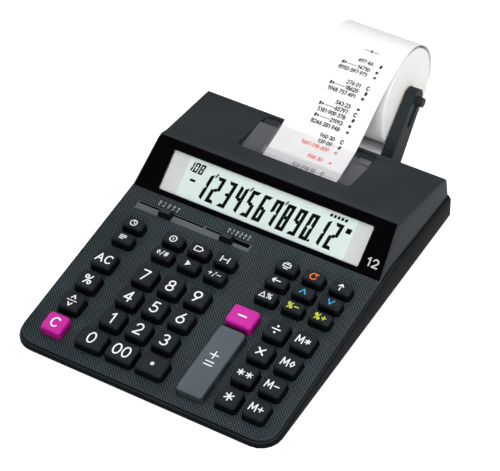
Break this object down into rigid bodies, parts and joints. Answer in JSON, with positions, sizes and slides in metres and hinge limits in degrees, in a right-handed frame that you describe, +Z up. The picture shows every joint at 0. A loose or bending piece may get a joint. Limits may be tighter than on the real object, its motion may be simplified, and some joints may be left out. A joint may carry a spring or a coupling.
{
  "type": "printing calculator",
  "caption": "Desktop printing calculator: sloping key deck, tilted display panel, recessed printer with clear tear bar, and a hinged rear holder with a paper roll.",
  "frame": {"origin": "centre of the bounding box in plan, on the ground under the feet", "axes": "+X to the right of a person at the keys, +Y away from that person towards the paper roll, +Z up"},
  "size_m": [0.195, 0.3372, 0.079],
  "materials": {
    "deck_plastic": "fine woven texture on the deck, satin on the housing",
    "case_plastic": "satin",
    "gloss_panel": "high gloss with a clear window",
    "display": "smooth, pale aqua",
    "board": "matte",
    "key_black": "satin",
    "key_magenta": "satin",
    "key_slate": "satin",
    "arm_plastic": "satin",
    "cover_plastic": "satin",
    "clear_plastic": "clear",
    "paper": "matte white paper",
    "mechanism": "satin",
    "roller_rubber": "matte",
    "drum_plastic": "satin",
    "cell_jacket": "glossy jacket over steel"
  },
  "bodies": {
    "case": {"upper_case": "deck_plastic", "lower_case": "case_plastic", "display_panel": "gloss_panel", "lcd_module": "display", "keyboard_board": "board", "paper_strip": "paper", "printer_cover": "cover_plastic", "tear_bar": "clear_plastic", "printer_mechanism": "mechanism", "battery_cells": "cell_jacket"},
    "roll_holder": {"roll_arm": "arm_plastic"},
    "roll": {"paper_roll": "paper"},
    "battery_door": {"battery_door": "case_plastic"},
    "mode_slider": {"mode_slider": "key_black"},
    "decimal_slider": {"decimal_slider": "key_black"},
    "feed_roller": {"feed_roller": "roller_rubber"},
    "type_drum": {"type_drum": "drum_plastic"},
    "key_item": {"key_item": "key_black"},
    "key_time": {"key_time": "key_black"},
    "key_clear": {"key_clear": "key_magenta"},
    "key_markup": {"key_markup": "key_black"},
    "key_percent": {"key_percent": "key_black"},
    "key_clear_all": {"key_clear_all": "key_black"},
    "key_diamond": {"key_diamond": "key_black"},
    "key_arrow": {"key_arrow": "key_black"},
    "key_sign": {"key_sign": "key_black"},
    "key_cost": {"key_cost": "key_black"},
    "key_sell": {"key_sell": "key_black"},
    "key_margin": {"key_margin": "key_black"},
    "key_1": {"key_1": "key_black"},
    "key_2": {"key_2": "key_black"},
    "key_3": {"key_3": "key_black"},
    "key_4": {"key_4": "key_black"},
    "key_5": {"key_5": "key_black"},
    "key_6": {"key_6": "key_black"},
    "key_7": {"key_7": "key_black"},
    "key_8": {"key_8": "key_black"},
    "key_9": {"key_9": "key_black"},
    "key_0": {"key_0": "key_black"},
    "key_00": {"key_00": "key_black"},
    "key_point": {"key_point": "key_black"},
    "key_delta": {"key_delta": "key_black"},
    "key_tax_minus": {"key_tax_minus": "key_black"},
    "key_tax_plus": {"key_tax_plus": "key_black"},
    "key_correct": {"key_correct": "key_black"},
    "key_up": {"key_up": "key_black"},
    "key_down": {"key_down": "key_black"},
    "key_print": {"key_print": "key_black"},
    "key_reprint": {"key_reprint": "key_black"},
    "key_feed": {"key_feed": "key_black"},
    "key_plus": {"key_plus": "key_slate"},
    "key_minus": {"key_minus": "key_magenta"},
    "key_total": {"key_total": "key_black"},
    "key_grand_total": {"key_grand_total": "key_black"},
    "key_times": {"key_times": "key_black"},
    "key_divide": {"key_divide": "key_black"},
    "key_memory_plus": {"key_memory_plus": "key_black"},
    "key_memory_minus": {"key_memory_minus": "key_black"},
    "key_memory_diamond": {"key_memory_diamond": "key_black"},
    "key_memory_total": {"key_memory_total": "key_black"}
  },
  "joints": [
    {"name": "roll_arm_lift", "type": "hinge", "parent": "case", "child": "roll_holder", "pos_m": [0.005, 0.08586, 0.0095], "axis": [1, 0, 0], "range_deg": [0, 30], "deforming": ["paper_strip"]},
    {"name": "roll_spin", "type": "hinge", "parent": "roll_holder", "child": "roll", "pos_m": [0.005, 0.13166, 0.0398], "axis": [1, 0, 0], "continuous": true},
    {"name": "battery_door_hinge", "type": "hinge", "parent": "case", "child": "battery_door", "pos_m": [0, -0.01534, 0.0037], "axis": [-1, 0, 0], "range_deg": [0, 80]},
    {"name": "mode_slide", "type": "slide", "parent": "case", "child": "mode_slider", "axis": [1, 0, 0], "range_m": [-0.012, 0.006]},
    {"name": "decimal_slide", "type": "slide", "parent": "case", "child": "decimal_slider", "axis": [1, 0, 0], "range_m": [-0.012, 0.01]},
    {"name": "feed_roller_spin", "type": "hinge", "parent": "case", "child": "feed_roller", "pos_m": [0.005, 0.03536, 0.031], "axis": [1, 0, 0], "continuous": true},
    {"name": "type_drum_spin", "type": "hinge", "parent": "case", "child": "type_drum", "pos_m": [0.005, 0.02266, 0.0336], "axis": [1, 0, 0], "continuous": true},
    {"name": "key_plus_press", "type": "slide", "parent": "case", "child": "key_plus", "axis": [0, 0.1025, -0.9947], "range_m": [0, 0.0022], "stiffness_N_per_m": 600, "springref_m": -0.001},
    {"name": "key_minus_press", "type": "slide", "parent": "case", "child": "key_minus", "axis": [0, 0.1025, -0.9947], "range_m": [0, 0.0022], "stiffness_N_per_m": 270, "springref_m": -0.001},
    {"name": "key_clear_press", "type": "slide", "parent": "case", "child": "key_clear", "axis": [0, 0.1025, -0.9947], "range_m": [0, 0.0022], "stiffness_N_per_m": 270, "springref_m": -0.001},
    {"name": "key_item_press", "type": "slide", "parent": "case", "child": "key_item", "axis": [0, 0.1025, -0.9947], "range_m": [0, 0.0022], "stiffness_N_per_m": 270, "springref_m": -0.001},
    {"name": "key_time_press", "type": "slide", "parent": "case", "child": "key_time", "axis": [0, 0.1025, -0.9947], "range_m": [0, 0.0022], "stiffness_N_per_m": 270, "springref_m": -0.001},
    {"name": "key_markup_press", "type": "slide", "parent": "case", "child": "key_markup", "axis": [0, 0.1025, -0.9947], "range_m": [0, 0.0022], "stiffness_N_per_m": 270, "springref_m": -0.001},
    {"name": "key_percent_press", "type": "slide", "parent": "case", "child": "key_percent", "axis": [0, 0.1025, -0.9947], "range_m": [0, 0.0022], "stiffness_N_per_m": 270, "springref_m": -0.001},
    {"name": "key_clear_all_press", "type": "slide", "parent": "case", "child": "key_clear_all", "axis": [0, 0.1025, -0.9947], "range_m": [0, 0.0022], "stiffness_N_per_m": 270, "springref_m": -0.001},
    {"name": "key_diamond_press", "type": "slide", "parent": "case", "child": "key_diamond", "axis": [0, 0.1025, -0.9947], "range_m": [0, 0.0022], "stiffness_N_per_m": 270, "springref_m": -0.001},
    {"name": "key_arrow_press", "type": "slide", "parent": "case", "child": "key_arrow", "axis": [0, 0.1025, -0.9947], "range_m": [0, 0.0022], "stiffness_N_per_m": 270, "springref_m": -0.001},
    {"name": "key_sign_press", "type": "slide", "parent": "case", "child": "key_sign", "axis": [0, 0.1025, -0.9947], "range_m": [0, 0.0022], "stiffness_N_per_m": 270, "springref_m": -0.001},
    {"name": "key_cost_press", "type": "slide", "parent": "case", "child": "key_cost", "axis": [0, 0.1025, -0.9947], "range_m": [0, 0.0022], "stiffness_N_per_m": 270, "springref_m": -0.001},
    {"name": "key_sell_press", "type": "slide", "parent": "case", "child": "key_sell", "axis": [0, 0.1025, -0.9947], "range_m": [0, 0.0022], "stiffness_N_per_m": 270, "springref_m": -0.001},
    {"name": "key_margin_press", "type": "slide", "parent": "case", "child": "key_margin", "axis": [0, 0.1025, -0.9947], "range_m": [0, 0.0022], "stiffness_N_per_m": 270, "springref_m": -0.001},
    {"name": "key_1_press", "type": "slide", "parent": "case", "child": "key_1", "axis": [0, 0.1025, -0.9947], "range_m": [0, 0.0022], "stiffness_N_per_m": 270, "springref_m": -0.001},
    {"name": "key_2_press", "type": "slide", "parent": "case", "child": "key_2", "axis": [0, 0.1025, -0.9947], "range_m": [0, 0.0022], "stiffness_N_per_m": 270, "springref_m": -0.001},
    {"name": "key_3_press", "type": "slide", "parent": "case", "child": "key_3", "axis": [0, 0.1025, -0.9947], "range_m": [0, 0.0022], "stiffness_N_per_m": 270, "springref_m": -0.001},
    {"name": "key_4_press", "type": "slide", "parent": "case", "child": "key_4", "axis": [0, 0.1025, -0.9947], "range_m": [0, 0.0022], "stiffness_N_per_m": 270, "springref_m": -0.001},
    {"name": "key_5_press", "type": "slide", "parent": "case", "child": "key_5", "axis": [0, 0.1025, -0.9947], "range_m": [0, 0.0022], "stiffness_N_per_m": 270, "springref_m": -0.001},
    {"name": "key_6_press", "type": "slide", "parent": "case", "child": "key_6", "axis": [0, 0.1025, -0.9947], "range_m": [0, 0.0022], "stiffness_N_per_m": 270, "springref_m": -0.001},
    {"name": "key_7_press", "type": "slide", "parent": "case", "child": "key_7", "axis": [0, 0.1025, -0.9947], "range_m": [0, 0.0022], "stiffness_N_per_m": 270, "springref_m": -0.001},
    {"name": "key_8_press", "type": "slide", "parent": "case", "child": "key_8", "axis": [0, 0.1025, -0.9947], "range_m": [0, 0.0022], "stiffness_N_per_m": 270, "springref_m": -0.001},
    {"name": "key_9_press", "type": "slide", "parent": "case", "child": "key_9", "axis": [0, 0.1025, -0.9947], "range_m": [0, 0.0022], "stiffness_N_per_m": 270, "springref_m": -0.001},
    {"name": "key_0_press", "type": "slide", "parent": "case", "child": "key_0", "axis": [0, 0.1025, -0.9947], "range_m": [0, 0.0022], "stiffness_N_per_m": 270, "springref_m": -0.001},
    {"name": "key_00_press", "type": "slide", "parent": "case", "child": "key_00", "axis": [0, 0.1025, -0.9947], "range_m": [0, 0.0022], "stiffness_N_per_m": 270, "springref_m": -0.001},
    {"name": "key_point_press", "type": "slide", "parent": "case", "child": "key_point", "axis": [0, 0.1025, -0.9947], "range_m": [0, 0.0022], "stiffness_N_per_m": 270, "springref_m": -0.001},
    {"name": "key_delta_press", "type": "slide", "parent": "case", "child": "key_delta", "axis": [0, 0.1025, -0.9947], "range_m": [0, 0.0022], "stiffness_N_per_m": 270, "springref_m": -0.001},
    {"name": "key_tax_minus_press", "type": "slide", "parent": "case", "child": "key_tax_minus", "axis": [0, 0.1025, -0.9947], "range_m": [0, 0.0022], "stiffness_N_per_m": 270, "springref_m": -0.001},
    {"name": "key_tax_plus_press", "type": "slide", "parent": "case", "child": "key_tax_plus", "axis": [0, 0.1025, -0.9947], "range_m": [0, 0.0022], "stiffness_N_per_m": 270, "springref_m": -0.001},
    {"name": "key_correct_press", "type": "slide", "parent": "case", "child": "key_correct", "axis": [0, 0.1025, -0.9947], "range_m": [0, 0.0022], "stiffness_N_per_m": 270, "springref_m": -0.001},
    {"name": "key_up_press", "type": "slide", "parent": "case", "child": "key_up", "axis": [0, 0.1025, -0.9947], "range_m": [0, 0.0022], "stiffness_N_per_m": 270, "springref_m": -0.001},
    {"name": "key_down_press", "type": "slide", "parent": "case", "child": "key_down", "axis": [0, 0.1025, -0.9947], "range_m": [0, 0.0022], "stiffness_N_per_m": 270, "springref_m": -0.001},
    {"name": "key_print_press", "type": "slide", "parent": "case", "child": "key_print", "axis": [0, 0.1025, -0.9947], "range_m": [0, 0.0022], "stiffness_N_per_m": 270, "springref_m": -0.001},
    {"name": "key_reprint_press", "type": "slide", "parent": "case", "child": "key_reprint", "axis": [0, 0.1025, -0.9947], "range_m": [0, 0.0022], "stiffness_N_per_m": 270, "springref_m": -0.001},
    {"name": "key_feed_press", "type": "slide", "parent": "case", "child": "key_feed", "axis": [0, 0.1025, -0.9947], "range_m": [0, 0.0022], "stiffness_N_per_m": 270, "springref_m": -0.001},
    {"name": "key_total_press", "type": "slide", "parent": "case", "child": "key_total", "axis": [0, 0.1025, -0.9947], "range_m": [0, 0.0022], "stiffness_N_per_m": 270, "springref_m": -0.001},
    {"name": "key_grand_total_press", "type": "slide", "parent": "case", "child": "key_grand_total", "axis": [0, 0.1025, -0.9947], "range_m": [0, 0.0022], "stiffness_N_per_m": 270, "springref_m": -0.001},
    {"name": "key_times_press", "type": "slide", "parent": "case", "child": "key_times", "axis": [0, 0.1025, -0.9947], "range_m": [0, 0.0022], "stiffness_N_per_m": 270, "springref_m": -0.001},
    {"name": "key_divide_press", "type": "slide", "parent": "case", "child": "key_divide", "axis": [0, 0.1025, -0.9947], "range_m": [0, 0.0022], "stiffness_N_per_m": 270, "springref_m": -0.001},
    {"name": "key_memory_plus_press", "type": "slide", "parent": "case", "child": "key_memory_plus", "axis": [0, 0.1025, -0.9947], "range_m": [0, 0.0022], "stiffness_N_per_m": 270, "springref_m": -0.001},
    {"name": "key_memory_minus_press", "type": "slide", "parent": "case", "child": "key_memory_minus", "axis": [0, 0.1025, -0.9947], "range_m": [0, 0.0022], "stiffness_N_per_m": 270, "springref_m": -0.001},
    {"name": "key_memory_diamond_press", "type": "slide", "parent": "case", "child": "key_memory_diamond", "axis": [0, 0.1025, -0.9947], "range_m": [0, 0.0022], "stiffness_N_per_m": 270, "springref_m": -0.001},
    {"name": "key_memory_total_press", "type": "slide", "parent": "case", "child": "key_memory_total", "axis": [0, 0.1025, -0.9947], "range_m": [0, 0.0022], "stiffness_N_per_m": 270, "springref_m": -0.001}
  ]
}
